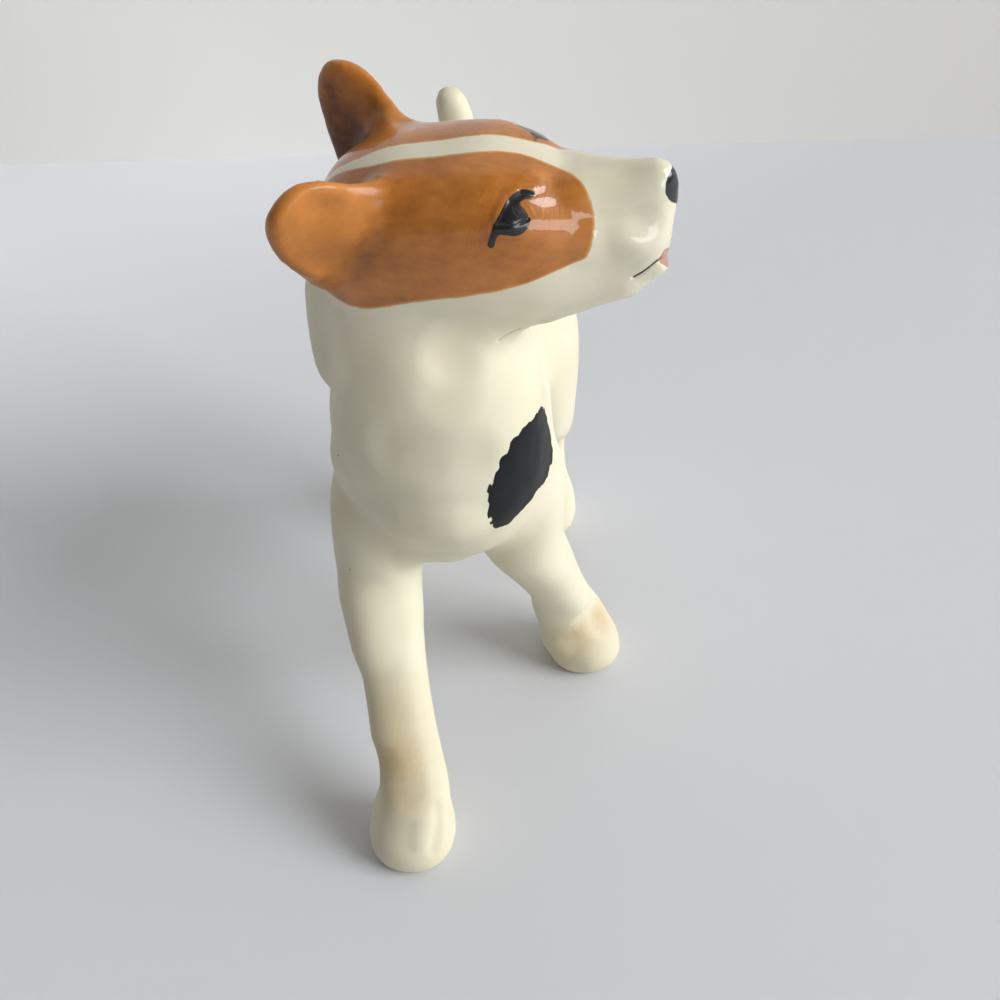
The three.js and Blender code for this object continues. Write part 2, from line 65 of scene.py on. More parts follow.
# The grown skin: its fineness, and how the pieces overlap under it
VOXEL = 0.45
TONGUE_SWELL = 0.6
TUCK_REACH = 0.8
TUCK_DEPTH = 1.6
NECK_SEAM = 84.0
NECK_RIM = 0.3
NECK_OVERLAP = 1.0

# How it is smoothed: rounds of averaging, and how far one round moves a point
SMOOTH_WEIGHT = 0.5
SOFTEN_ROUNDS = 26
EAR_ROUNDS = 50
EAR_POLISH_ROUNDS = 16
EAR_EDGE = 2

# How its seams are filled, over this width and less on the thin pieces
SEAM_ROUNDS = 260
SEAM_WIDTH = 9.0
SEAM_FULL = 1.2
SEAM_BLUR = 20
RIDGE_KEPT = 0.7
NORMALS_EVERY = 20
THIN_PIECES = ((EARS, 0.2), (("tongue",), 0.02))
THIN_REACH = 3
THIN_BLUR = 10

# How it is parted: the seams' fields, and how deep the closed ends of the pieces are.
# The tongue's end bulges back, into the head's.
FIELD_BLUR = 6
LEAST_FIELD = 1e-4
TONGUE_GAIN = 0.7
CAP_DEPTH = 1.0
CAP_DEPTHS = {"tongue": -3.5, "head": 4.3}

# How near to a colour's edge, an ear or the vent triangles are halved, and twice at lines
LINE_REACHES = (1.6, 0.7)
EAR_REACH = 1
MASK_REACH = 0.8
PATCH_REACH = 1.0
VENT_REACH = 1.5
EDGE_BULGE = 0.375

# The soles are flat below this height, and bare of glaze near it
SOLE_CUT = 0.12
BARE_HEIGHT = 0.6

# The vent in the belly, and the plug that stops it while the skin grows
VENT_AT = (-5.24, 11.79, 46.0)
VENT_RADIUS = 2.5
VENT_DEPTH = 4.0
VENT_MARGIN = 0.2
VENT_ROUND = 0.7
VENT_NEAR = 6
PLUG_MARGIN = 0.4
PLUG_DEPTH = 5.0
PLUG_SIDES = 24

# The head's middle, how it is turned, and the girth that degrees round it are measured on
HEAD_AT = (-7.237, -17.714, 101.0)
HEAD_TURN = (7, -4, -2)
HEAD_GIRTH = 11.0

# Mask outlines, as places along the head and degrees round it from its right side over the top
MASK_NEAR = (
    (-11.5, 78), (-5.0, 74), (-2.1, 71), (2.1, 73), (7.0, 74), (11.8, 78), (14.4, 82),
    (17.3, 83), (20.0, 80), (22.0, 70), (23.4, 57), (23.9, 39), (23.7, 17), (23.1, 1), (22.7, -2.5),
    (20.2, -7), (15.1, -13), (10.0, -14.5), (3.6, -17), (-0.9, -22), (-4.9, -26), (-8.0, -24),
    (-11.5, -14), (-13.5, 10), (-13.5, 50),
)
MASK_FAR = (
    (-11.5, 84), (-4.0, 81), (-1.2, 86), (3.8, 87), (8.5, 90), (13.1, 96), (16.3, 100),
    (19.6, 108), (22.4, 118), (23.8, 136), (23.7, 163), (22.9, 180), (20.2, 187),
    (15.1, 193), (10.0, 194.5), (3.6, 197), (-0.9, 202), (-4.9, 206), (-8.0, 204),
    (-11.5, 194), (-13.5, 170), (-13.5, 120),
)

# The eye's ink, as places along the head and above its middle
EYE = (
    (17.4, 7.9), (16.9, 8.4), (16.2, 8.7), (15.4, 8.75), (14.6, 8.5), (14.0, 8.0),
    (13.5, 7.2), (13.1, 6.7), (12.75, 6.2), (12.5, 5.2), (12.0, 4.2), (12.4, 3.6),
    (12.9, 3.9), (13.0, 4.6), (13.4, 5.2), (14.2, 5.0), (15.1, 4.7), (16.0, 4.75),
    (16.6, 5.2), (16.95, 5.9), (16.7, 6.3), (16.1, 7.2), (15.6, 7.7), (16.2, 7.9), (16.7, 7.7),
)

# The left eye sits a little higher, with a broad stroke of ink over its lid
FAR_EYE_LIFT = 1.2
FAR_LID = ((14.8, 5.4, 10.2), (16.0, 4.7, 9.9), (17.2, 3.9, 9.2))
FAR_LID_HALF = 0.8

# The nose leather's right half from the front: places to the side and above the head's middle
NOSE_HALF = (
    (0, 7.7), (-1.2, 7.3), (-1.8, 6.4), (-2.1, 5.4), (-1.9, 4.5), (-1.4, 3.8), (-0.9, 3.5),
    (-0.5, 2.8), (0, 2.2),
)
NOSE = NOSE_HALF + tuple((-side, above) for side, above in NOSE_HALF[-2:0:-1])
NOSE_BACK = 31.6
NOSE_SLANT = 0.35
NOSE_SLANT_TOP = 5.8
NOSE_SLANT_DEPTH = 3

# The mouth's line seen from the side, as places along the head and above its middle
MOUTH = (
    (28.3, -4.8), (29.0, -4.4), (29.7, -3.9), (30.9, -2.95), (31.6, -2.75), (32.4, -2.7),
    (34.5, -2.7),
)
MOUTH_INK = 0.13

# The shoulder patch, as degrees round the chest and heights. The other side is out of its reach.
CHEST_AT = (-5.2, -10.0)
CHEST_GIRTH = 16.0
PATCH = (
    (-38, 76.1), (-30, 75.2), (-20, 72), (-9, 66.5), (-2, 62), (-6, 59.5), (-12, 60), (-18, 58),
    (-26, 59.5), (-38, 59), (-47, 57.5), (-55, 56.6), (-58, 58.3), (-62, 60), (-64, 66),
    (-62, 70), (-58, 73), (-52, 75.6), (-45, 76.2),
)
NO_PATCH = 50.0

# Sprays of tan over the pasterns: places, reaches and strengths
SPRAYS = (
    ((-9.9, -39.5, 16.6), 6.0, 0.8),
    ((-8.4, -42.4, 13.0), 4.5, 0.6),
    ((-11.5, -36.0, 23.0), 7.0, 0.5),
    ((22.0, 0.3, 11.4), 3.6, 0.8),
    ((17.6, -3.6, 10.4), 4.2, 0.75),
    ((15.0, -4.2, 6.2), 3.2, 0.5),
    ((8.0, 34.0, 12.0), 5.0, 0.7),
    ((-18.0, 28.0, 12.0), 5.0, 0.7),
)

# A fade is written as where it starts and the stretch that it takes.
# Painted shade darkens the brown behind the root of each ear, this strongly and within a reach.
EAR_ROOT_SHADE = ((-3.0, -12.2, 8.0), (-3.6, -11.6, 3.0))
EAR_ROOT_SHADE_REACH = 3.0
EAR_ROOT_SHADE_AMOUNT = 0.5

# Painted shade darkens the right ear's rim, within a reach
EAR_RIM = (
    (-8.4, -15.3, 14.0), (-10.0, -16.2, 12.4), (-10.8, -16.2, 10.2), (-11.2, -15.8, 8.0),
    (-11.0, -14.5, 5.0), (-9.8, -13.7, 2.8),
)
EAR_RIM_REACH = 1.6
EAR_RIM_AMOUNT = 1.05

# Painted shade darkens the left ear's back behind a line that runs down from this place
DARK_EDGE = (-10.0, 14.0)
DARK_SLOPE = 0.6
DARK_FADE = (1, 3)
DARK_EAR_FADE = (2, 4)

# The mask is a little darker low on the cheek, away from the muzzle
CHEEK_AMOUNT = 0.4
CHEEK_LOW_FADE = (1, 6)
CHEEK_BACK_FADE = (8, 10)

# Painted light makes the right ear's hollow lighter, and a painted sheen the front of the mask
LIT_EAR_FADE = (-1, 5)
FRONT_SHEEN = 0.8
FRONT_SHEEN_FADE = (16, 4)

# The glaze shines on the mask and on the muzzle, and is satin elsewhere
GLOSS_MASK_FADE = (7, 6)
GLOSS_MUZZLE_FADE = (17, 4)
MUZZLE_LOW = -20

# Glaze pools in hollows, which are places that smoothing lifts. Painted shade makes a dark line in
# the jaw's crease and darkens the brown.
HOLLOW_ROUNDS = 30
HOLLOW_DEEP = 0.12
HOLLOW_BLUR = 8
CREASE_HALF = 0.22
CREASE_AMOUNT = 5
BROWN_AMOUNT = 1.6

PAINTS = ("mask", "ink", "patch", "spray", "pool", "bare", "cup", "gloss")

# Strokes of the modelling tool: a path, how wide it is and how far it pushes the clay out.
# These are on both sides of the head, in the head's directions.
HEAD_STROKES = (
    (((14.7, -9.0, 6.2),), 2.4, 0.22),
    (((13.1, -9.0, 7.0), (14.2, -7.4, 8.6), (15.6, -6.1, 8.9), (17.0, -5.5, 8.3)), 0.8, 0.14),
    (((12.4, -10.0, 4.2), (13.0, -9.3, 5.6)), 0.6, 0.1),
    (((13.4, -9.5, 6.2), (15.0, -8.9, 5.75), (16.6, -8.1, 6.1)), 0.35, -0.08),
    (((12.5, -5.8, 9.6), (15.0, -4.6, 10.0), (17.2, -3.8, 9.2)), 2.6, 0.2),
    (((22.5, -2.6, 7.1), (25.5, -2.2, 6.9), (30.5, -1.6, 6.9)), 4.0, 0.8),
    (((19.0, -4.5, -10.8), (23.0, -4.2, -9.1), (27.0, -4.3, -7.8)), 3.6, 0.6),
    (((31.9, -1.6, -4.4),), 2.6, 0.6),
    (((23.5, -5.2, 0.8), (29.0, -4.2, 0.2)), 4.0, 0.4),
)
# These are on the right ear and mirrored on the left one: its rim and its hollow
EAR_STROKES = (
    (((-3.8, -11.6, 12.4), (-5.3, -12.5, 13.1), (-7.0, -13.6, 13.6), (-8.4, -14.9, 13.1),
      (-9.4, -15.7, 12.0), (-10.0, -15.9, 10.2), (-10.3, -15.6, 8.3), (-10.4, -14.3, 5.0),
      (-9.4, -13.5, 3.2), (-8.2, -12.6, 1.6)), 1.8, 0.45),
    (((-5.2, -13.2, 10.0), (-6.2, -13.7, 7.5), (-6.4, -13.0, 5.0)), 4.2, -0.7),
)
# These are placed in the whole figure: neck, throat, breast, shoulder, legs and paws
BODY_STROKES = (
    (((-18.6, -22.5, 92.2), (-18.7, -22.7, 89.4), (-17.9, -24.2, 84.5)), 6.0, 1.0),
    (((-17.4, -24.4, 78.2), (-18.4, -22.0, 77.8)), 4.0, -0.7),
    (((-0.2, -26.6, 88.2),), 5.5, -0.75),
    (((-0.6, -27.5, 86.0), (-0.8, -28.3, 83.0)), 5.0, -0.35),
    (((-7.2, -29.0, 86.0),), 6.0, 0.35),
    (((-8.0, -30.2, 74.5), (-3.0, -30.3, 74.2), (1.5, -29.6, 74.0)), 5.5, -0.75),
    (((-3.0, -30.3, 65.0),), 7.0, 0.45),
    (((-7.5, -28.8, 60.0), (-1.5, -29.5, 59.5)), 7.5, 1.15),
    (((-18.0, -22.5, 66.0), (-18.5, -21.5, 61.0)), 5.0, 0.9),
    (((-19.0, -21.0, 57.0),), 6.0, -0.6),
    (((-18.3, -23.5, 36.5), (-17.3, -27.0, 30.5)), 7.0, 1.15),
    (((-13.0, -40.5, 12.3), (-13.6, -38.5, 14.0)), 6.0, -0.95),
    (((-8.0, -42.4, 14.0),), 4.0, -0.3),
    (((-3.0, -43.4, 11.3), (-2.7, -44.9, 8.3), (-3.6, -47.1, 5.0)), 1.5, -0.28),
    (((-5.2, -45.0, 9.5), (-5.5, -46.9, 6.5)), 2.2, 0.25),
    (((-7.5, -20.0, 47.2), (-4.0, -19.5, 46.6)), 5.5, 0.9),
    (((11.6, -1.6, 15.5), (11.8, -2.0, 9.0)), 7.0, 1.0),
    (((12.5, -1.9, 6.4),), 5.5, 0.7),
    (((20.0, -2.3, 15.7), (21.9, -0.4, 12.4)), 5.0, -1.1),
    (((24.0, -1.5, 5.6), (21.5, -4.6, 5.0)), 5.0, 0.6),
)
# Shifts of the clay: a path on the head, its reach and a move in the whole figure's directions.
# They are the jaw's underside, the left ear's front edge, its tip, and the bridge of the nose.
SHIFTS = (
    (((14.0, -6.0, -11.5), (14.0, 6.0, -11.5)), 6.5, (0, 0, -1.5)),
    (((-5.6, 12.2, 10.5),), 6.0, (1.0, 0, 0.2)),
    (((-9.0, 12.5, 14.0),), 8.0, (-0.7, 0, 0.3)),
    (((25.5, 0, 8.5), (29.0, 0, 7.8)), 5.0, (0, 0, 0.45)),
)
# The crease where the jaw meets the throat, seen from the side
JAW_CREASE = ((11.6, -12.3), (12.1, -11.9), (12.8, -11.6), (13.6, -11.25), (14.3, -11.0))
CREASE_STROKE = (0.4, -0.12)
MOUTH_STROKE = (0.5, -0.2)

# The left ear's front half bends away from the head's middle, ahead of a ridge down its back
EAR_RIDGE = (-8.6, 14.0)
RIDGE_SLOPE = 0.36
RIDGE_ROUND = 2.0
RIDGE_REACH = 8.0
EAR_BEND = 0.6
BEND_WAY = (-0.253, 0.851, -0.461)
BEND_FADE = (5, 14)

# The form is rubbed down at the ears' front roots and at the throat
EAR_ROOTS = ((-1.2, -8.8, 11.8), (-0.4, -7.6, 11.0))
EAR_ROOT_REACH = 5.5
EAR_ROOT_ROUNDS = 110
THROAT = ((12.0, -5.5, -13.0), (14.0, -1.0, -15.0))
THROAT_REACH = 5.0
THROAT_ROUNDS = 90
RUB_FULL = 1.2

# The muzzle narrows along this fade by a share, and by a further share at its top
NARROW_FADE = (16.0, 17.0)
NARROW_SHARE = 0.26
NARROW_TOP = 0.2
NARROW_TOP_FADE = (1, 6)
HEAD_LOW = -40

# The side of the muzzle beside the nose is flatter, and faces this way
FLAT_AT = (29.0, -4.7, 1.6)
FLAT_FACING = (0.488, -0.613, 0.622)
FLAT_REACH = 4.2
FLAT_SHARE = 0.55

# Colours
CREAM = (0.76, 0.725, 0.57)
CREAM_DEEP = (0.64, 0.56, 0.38)
BROWN = (0.42, 0.142, 0.020)
BROWN_DARK = (0.13, 0.040, 0.012)
BROWN_LIGHT = (0.60, 0.235, 0.050)
BROWN_EDGE = (0.66, 0.38, 0.15)
BLACK = (0.010, 0.010, 0.011)
PATCH_BLACK = (0.008, 0.010, 0.011)
TAN = (0.55, 0.39, 0.18)
PINK = (0.50, 0.27, 0.20)
PINK_DEEP = (0.42, 0.2, 0.14)
CLAY = (0.45, 0.34, 0.22)
SATIN_ROUGH = 0.5
GLOSS_ROUGH = 0.3
COAT = 0.7
COAT_ROUGH = 0.03
EAR_COAT = 0.2
EAR_COAT_ROUGH = 0.12
EAR_ROUGH = 0.4
PATCH_COAT = 0.06
WRINKLE_DEPTH = 0.035
WRINKLE_RATE = 3.6
WRINKLE_WANDER = 260.0

# The stage: a floor and a wall, each with painted light: two colours that meet along a way on the
# ground, the floor lighter far to the left and the wall darker to the right
STAGE = 8000
FLOOR_COLOR = (0.655, 0.668, 0.70)
FLOOR_PAINTED_LIGHT_COLOR = (0.82, 0.835, 0.87)
FLOOR_WAY = (-1, 1)
FLOOR_STRETCH = (100, 350)
WALL_AT = 233.5
WALL_SLOPE = 0.176
WALL_COLOR = (0.93, 0.925, 0.905)
WALL_PAINTED_SHADE_COLOR = (0.74, 0.73, 0.70)
WALL_WAY = (1, 0)
WALL_STRETCH = (-150, 200)

# The light: a broad window to the right, a smaller pane of it nearer by, and the room
LIGHT_TARGET = (0, 0, 0.07)
WINDOW_AT = (5.1, -0.9, 2.95)
WINDOW_SIZE = (3.6, 3.0)
WINDOW_POWER = 355
PANE_AT = (2.1, -2.1, 0.5)
PANE_SIZE = (0.9, 0.7)
PANE_POWER = 11
WINDOW_COLOR = (0.98, 0.99, 1.0)
WORLD_STRENGTH = 0.16
WORLD_COLOR = (1.0, 0.95, 0.87)


def placed(name, data):
    """A new object in the scene."""
    thing = bpy.data.objects.new(name, data)
    bpy.context.scene.collection.objects.link(thing)
    return thing


def place_camera():
    """The photograph's own view."""
    data = bpy.data.cameras.new("camera")
    data.lens = CAMERA_LENS
    data.sensor_width = CAMERA_SENSOR
    data.clip_start, data.clip_end = CAMERA_CLIP
    camera = placed("camera", data)
    camera.location = Vector(CAMERA_AT) * MM
    camera.rotation_euler = (math.radians(90 - CAMERA_PITCH), 0, math.radians(CAMERA_AZIMUTH))
    bpy.context.scene.camera = camera


def eased(share):
    """A share from nothing to one, with soft ends."""
    share = np.clip(share, 0, 1)
    return share * share * (3 - 2 * share)


def rising(values, start, stretch):
    """Nothing up to a start, easing to one over a stretch."""
    return eased((values - start) / stretch)


def falling(values, start, stretch):
    """One at a stretch below a start, easing to nothing at the start."""
    return eased((start - values) / stretch)


def points_of(mesh):
    """The mesh's vertices as rows of millimetres."""
    flat = np.empty(len(mesh.vertices) * 3)
    mesh.vertices.foreach_get("co", flat)
    return flat.reshape(-1, 3) / MM


def triangles_of(mesh):
    mesh.calc_loop_triangles()
    flat = np.empty(len(mesh.loop_triangles) * 3, dtype=np.int64)
    mesh.loop_triangles.foreach_get("vertices", flat)
    return flat.reshape(-1, 3)


def surfaces_of_frame():
    """Each clay piece's points, triangles and search tree."""
    found = {}
    for name in SKIN_NODES:
        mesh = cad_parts[name].data
        points = points_of(mesh)
        triangles = triangles_of(mesh)
        tree = BVHTree.FromPolygons(points.tolist(), triangles.tolist())
        found[name] = (points, triangles, tree)
    return found


def tucked(points, tree):
    """Points that lie at a luted seam, pushed a little way into the piece behind it."""
    moved = points.copy()
    for i, point in enumerate(points):
        place, normal, _, distance = tree.find_nearest(point.tolist(), TUCK_REACH)
        if place is not None:
            moved[i] = np.array(place) - np.array(normal) * TUCK_DEPTH
    return moved


def joined_form(surfaces):
    """One mesh of all the clay pieces, overlapping at their seams."""
    chunks = []
    faces = []
    start = 0
    for name in SKIN_NODES:
        points, triangles, _ = surfaces[name]
        if name in LIMBS:
            points = tucked(points, surfaces["torso"][2])
        if name in EARS:
            points = tucked(points, surfaces["head"][2])
        if name == "tongue":
            points = points + normals_of(points, triangles) * TONGUE_SWELL
        if name == "head":
            points = points.copy()
            rim = points[:, 2] < NECK_SEAM + NECK_RIM
            points[rim, 2] -= NECK_OVERLAP
        chunks.append(points)
        faces.append(triangles + start)
        start += len(points)
    plug, plug_faces = vent_plug()
    chunks.append(plug)
    faces.append(plug_faces + start)
    return np.concatenate(chunks), np.concatenate(faces)


def vent_plug():
    """A short cylinder that fills the vent while the skin is grown."""
    shape = bmesh.new()
    radius = VENT_RADIUS + PLUG_MARGIN
    bmesh.ops.create_cone(shape, cap_ends=True, cap_tris=True, segments=PLUG_SIDES,
                          radius1=radius, radius2=radius, depth=PLUG_DEPTH)
    bmesh.ops.triangulate(shape, faces=shape.faces)
    shape.verts.index_update()
    points = np.array([vert.co for vert in shape.verts]) + np.array(VENT_AT)
    faces = np.array([[vert.index for vert in face.verts] for face in shape.faces])
    shape.free()
    return points, faces


def mesh_from(name, points, faces):
    """A mesh in metres from points in millimetres."""
    mesh = bpy.data.meshes.new(name)
    mesh.from_pydata((np.asarray(points) * MM).tolist(), [], np.asarray(faces).tolist())
    mesh.update()
    return mesh


def grown(points, faces):
    """The outer surface of overlapping solids as one even mesh of triangles."""
    form = placed("form", mesh_from("form", points, faces))
    remesh = form.modifiers.new("grow", "REMESH")
    remesh.mode = "VOXEL"
    remesh.voxel_size = VOXEL * MM
    seen = form.evaluated_get(bpy.context.evaluated_depsgraph_get())
    mesh = bpy.data.meshes.new_from_object(seen)
    points = points_of(mesh)
    triangles = triangles_of(mesh)
    bpy.data.objects.remove(form)
    bpy.data.meshes.remove(mesh)
    return outermost(points, triangles)


def labels_of(count, edges):
    """A label for each point, alike where edges join them."""
    labels = np.arange(count)
    while True:
        lowest = np.minimum(labels[edges[:, 0]], labels[edges[:, 1]])
        before = labels.copy()
        np.minimum.at(labels, edges[:, 0], lowest)
        np.minimum.at(labels, edges[:, 1], lowest)
        labels = labels[labels]
        if np.array_equal(labels, before):
            return labels


def sides_of(triangles):
    """The sides of all the triangles, each from one point to the next."""
    return np.concatenate([triangles[:, [0, 1]], triangles[:, [1, 2]], triangles[:, [2, 0]]])


def edges_of(triangles):
    """Each edge once, as its lower and its higher point."""
    return np.unique(np.sort(sides_of(triangles), axis=1), axis=0)


def kept_part(points, triangles, keep):
    """The triangles that keep marks, with only the points that they use."""
    triangles = triangles[keep]
    used = np.unique(triangles)
    renumbered = np.full(len(points), -1)
    renumbered[used] = np.arange(len(used))
    return points[used], renumbered[triangles], used


def outermost(points, triangles):
    """The outer one of a hollow form's surfaces, which holds the highest point."""
    labels = labels_of(len(points), edges_of(triangles))
    outer = labels[np.argmax(points[:, 2])]
    points, triangles, _ = kept_part(points, triangles, labels[triangles[:, 0]] == outer)
    return points, triangles


class Neighbours:
    """Averages over each point's neighbours on a mesh."""

    def __init__(self, count, triangles):
        self.count = count
        self.edges = edges_of(triangles)
        ends = self.edges.ravel()
        self.valence = np.bincount(ends, minlength=count)

    def mean(self, values):
        a, b = self.edges.T
        if values.ndim == 1:
            total = np.bincount(a, values[b], self.count) + np.bincount(b, values[a], self.count)
            return total / self.valence
        return np.stack([self.mean(values[:, k]) for k in range(values.shape[1])], axis=1)

    def smooth(self, values, rounds, weight=SMOOTH_WEIGHT):
        for _ in range(rounds):
            values = values + (self.mean(values) - values) * weight
        return values

    def softened(self, points, rounds):
        """Smoothed points, with what smoothing takes off the broad forms given back."""
        once = self.smooth(points, rounds)
        return once + (once - self.smooth(once, rounds))

    def filled(self, points, triangles, weight):
        """Points smoothed so that hollows fill up more than ridges wear off."""
        for i in range(SEAM_ROUNDS):
            if i % NORMALS_EVERY == 0:
                normals = normals_of(points, triangles)
            step = self.mean(points) - points
            wear = np.minimum((step * normals).sum(axis=1), 0)
            points = points + (step - normals * (wear * RIDGE_KEPT)[:, None]) * weight
        return points


def normals_of(points, triangles):
    corners = points[triangles]
    across = np.cross(corners[:, 1] - corners[:, 0], corners[:, 2] - corners[:, 0])
    normals = np.zeros_like(points)
    for k in range(3):
        np.add.at(normals, triangles[:, k], across)
    return normals / np.linalg.norm(normals, axis=1, keepdims=True)


def distances_to(surfaces, points, reach):
    """Each point's distance to each clay piece, up to a reach."""
    table = {}
    for name, (piece, _, tree) in surfaces.items():
        low = piece.min(0) - reach
        high = piece.max(0) + reach
        near = np.flatnonzero(np.all((points >= low) & (points <= high), axis=1))
        distances = np.full(len(points), reach)
        for i in near:
            found = tree.find_nearest(points[i].tolist(), reach)
            if found[0] is not None:
                distances[i] = found[3]
        table[name] = distances
    return table


def seam_field(table, name):
    """Negative on the named piece, positive on its neighbours and zero along the seam."""
    others = np.min([table[other] for other in table if other != name], axis=0)
    return table[name] - others


def cut_along(points, extras, triangles, field):
    """Splits triangles where a field changes sign, and says on which side each one lies."""
    field = np.where(np.abs(field) < LEAST_FIELD, LEAST_FIELD, field)
    sides = field[triangles] < 0
    mixed = sides.any(axis=1) & ~sides.all(axis=1)
    crossing = edges_of(triangles[mixed])
    crossing = crossing[(field[crossing[:, 0]] < 0) != (field[crossing[:, 1]] < 0)]
    a, b = crossing.T
    share = field[a] / (field[a] - field[b])

    def with_crossings(values):
        """Values with those at the crossings added behind them."""
        part = share.reshape((-1,) + (1,) * (values.ndim - 1))
        return np.concatenate([values, values[a] * (1 - part) + values[b] * part])

    index = {(int(p), int(q)): len(points) + i for i, (p, q) in enumerate(crossing)}
    pieces = []
    for triangle in triangles[mixed]:
        marks = [field[v] < 0 for v in triangle]
        lone = marks.index(True) if sum(marks) == 1 else marks.index(False)
        p, q, r = (int(triangle[(lone + k) % 3]) for k in range(3))
        pq = index[(min(p, q), max(p, q))]
        pr = index[(min(p, r), max(p, r))]
        pieces += [(p, pq, pr), (pq, q, r), (pq, r, pr)]
    pieces = np.array(pieces, dtype=np.int64).reshape(-1, 3)
    triangles = np.concatenate([triangles[~mixed], pieces])
    points = with_crossings(points)
    extras = {key: with_crossings(value) for key, value in extras.items()}
    field = np.concatenate([field, np.zeros(len(crossing))])
    inside = field[triangles].min(axis=1) < 0
    return points, extras, triangles, inside


def refined(points, normals, extras, triangles, wanted):
    """Halves the edges between wanted points, bulging each new point to the skin's curve."""
    count = len(points)
    edges = edges_of(triangles)
    edges = edges[wanted[edges[:, 0]] & wanted[edges[:, 1]]]
    a, b = edges.T
    keys = a * count + b
    middle = (points[a] + points[b]) / 2
    for end in (a, b):
        rise = ((middle - points[end]) * normals[end]).sum(1)
        middle -= EDGE_BULGE * normals[end] * rise[:, None]
    extras = {key: np.concatenate([value, (value[a] + value[b]) / 2])
              for key, value in extras.items()}

    def middle_between(p, q):
        """The new points that halve the edges from p to q."""
        return count + np.searchsorted(keys, np.minimum(p, q) * count + np.maximum(p, q))

    inside = wanted[triangles].sum(axis=1)
    whole = [triangles[inside < 2]]
    for k in range(3):
        p, q, r = (triangles[:, (k + step) % 3] for step in range(3))
        lone = (inside == 2) & ~wanted[r]
        p, q, r = p[lone], q[lone], r[lone]
        m = middle_between(p, q)
        whole += [np.stack([p, m, r], 1), np.stack([m, q, r], 1)]
    p, q, r = triangles[inside == 3].T
    pq, qr, rp = (middle_between(*ends) for ends in ((p, q), (q, r), (r, p)))
    for three in ((p, pq, rp), (q, qr, pq), (r, rp, qr), (pq, qr, rp)):
        whole.append(np.stack(three, 1))
    return np.concatenate([points, middle]), extras, np.concatenate(whole)


def turned_rows():
    """The head's directions as the rows of a matrix."""
    turn = Euler([math.radians(angle) for angle in HEAD_TURN], "XYZ").to_matrix()
    return np.array(turn.transposed())


def on_head(points):
    """Points in the head's own directions."""
    return (points - np.array(HEAD_AT)) @ turned_rows().T


def mirrored(path):
    """A path on the head's other side."""
    return tuple((x, -y, z) for x, y, z in path)


def distance_to_path(points, path):
    """Each point's distance to a line of straight stretches, flat or in space."""
    path = np.array(path, dtype=float)
    if len(path) == 1:
        return np.linalg.norm(points - path[0], axis=1)
    nearest = np.full(len(points), np.inf)
    for start, end in zip(path[:-1], path[1:]):
        along = end - start
        share = np.clip(((points - start) @ along) / (along @ along), 0, 1)
        gap = np.linalg.norm(points - start - share[:, None] * along, axis=1)
        nearest = np.minimum(nearest, gap)
    return nearest


def inside_outline(points, outline):
    """Marks the points inside a closed outline."""
    outline = np.array(outline, dtype=float)
    inside = np.zeros(len(points), dtype=bool)
    x, y = points.T
    for (x0, y0), (x1, y1) in zip(outline, np.roll(outline, -1, axis=0)):
        spans = (y0 > y) != (y1 > y)
        if y0 != y1:
            inside ^= spans & (x < x0 + (y - y0) / (y1 - y0) * (x1 - x0))
    return inside


def rounded_outline(outline, rounds=2):
    """A closed outline with its corners cut, which rounds them."""
    outline = np.array(outline, dtype=float)
    for _ in range(rounds):
        following = np.roll(outline, -1, axis=0)
        cuts = np.stack([outline * 0.75 + following * 0.25, outline * 0.25 + following * 0.75], 1)
        outline = cuts.reshape(-1, 2)
    return outline


def signed_distance(points, outline):
    """Distance to a closed outline, negative inside it."""
    outline = rounded_outline(outline)
    distance = distance_to_path(points, np.concatenate([outline, outline[:1]]))
    return np.where(inside_outline(points, outline), -distance, distance)


def mask_distance(local):
    """Distance to the two halves of the brown mask."""
    degrees = np.degrees(np.arctan2(local[:, 2], -local[:, 1]))
    degrees = np.where(degrees < -90, degrees + 360, degrees)
    places = np.stack([local[:, 0], np.radians(degrees) * HEAD_GIRTH], axis=1)
    halves = []
    for outline in (MASK_NEAR, MASK_FAR):
        scaled = [(x, math.radians(angle) * HEAD_GIRTH) for x, angle in outline]
        halves.append(signed_distance(places, scaled))
    return np.minimum(*halves)


def ink_distance(local):
    """Distance to the black of the eyes, the nose and the mouth's line."""
    x, y, z = local.T
    raised = np.where(y > 0, FAR_EYE_LIFT, 0)
    eyes = signed_distance(np.stack([x, z - raised], axis=1), EYE)
    eyes = np.minimum(eyes, distance_to_path(local, FAR_LID) - FAR_LID_HALF)
    nose = signed_distance(np.stack([y, z], axis=1), NOSE)
    slant = np.clip(NOSE_SLANT_TOP - z, 0, NOSE_SLANT_DEPTH) * NOSE_SLANT
    nose = np.maximum(nose, NOSE_BACK + slant - x)
    mouth = distance_to_path(np.stack([x, z], axis=1), MOUTH) - MOUTH_INK
    return np.min([eyes, nose, mouth], axis=0)


def patch_distance(points):
    """Distance to the black patch on the left shoulder."""
    across = points[:, 0] - CHEST_AT[0]
    along = points[:, 1] - CHEST_AT[1]
    angle = np.arctan2(along, across)
    places = np.stack([angle * CHEST_GIRTH, points[:, 2]], axis=1)
    scaled = [(math.radians(degrees) * CHEST_GIRTH, height) for degrees, height in PATCH]
    return signed_distance(places, scaled)


def bell(gap, reach):
    """One in the middle, fading out softly to nothing at its reach."""
    return np.clip(1 - (gap / reach) ** 2, 0, 1) ** 2


def spot(gap, reach):
    """One in the middle of a sprayed spot, which has no edge."""
    return np.exp(-((gap / reach) ** 2))


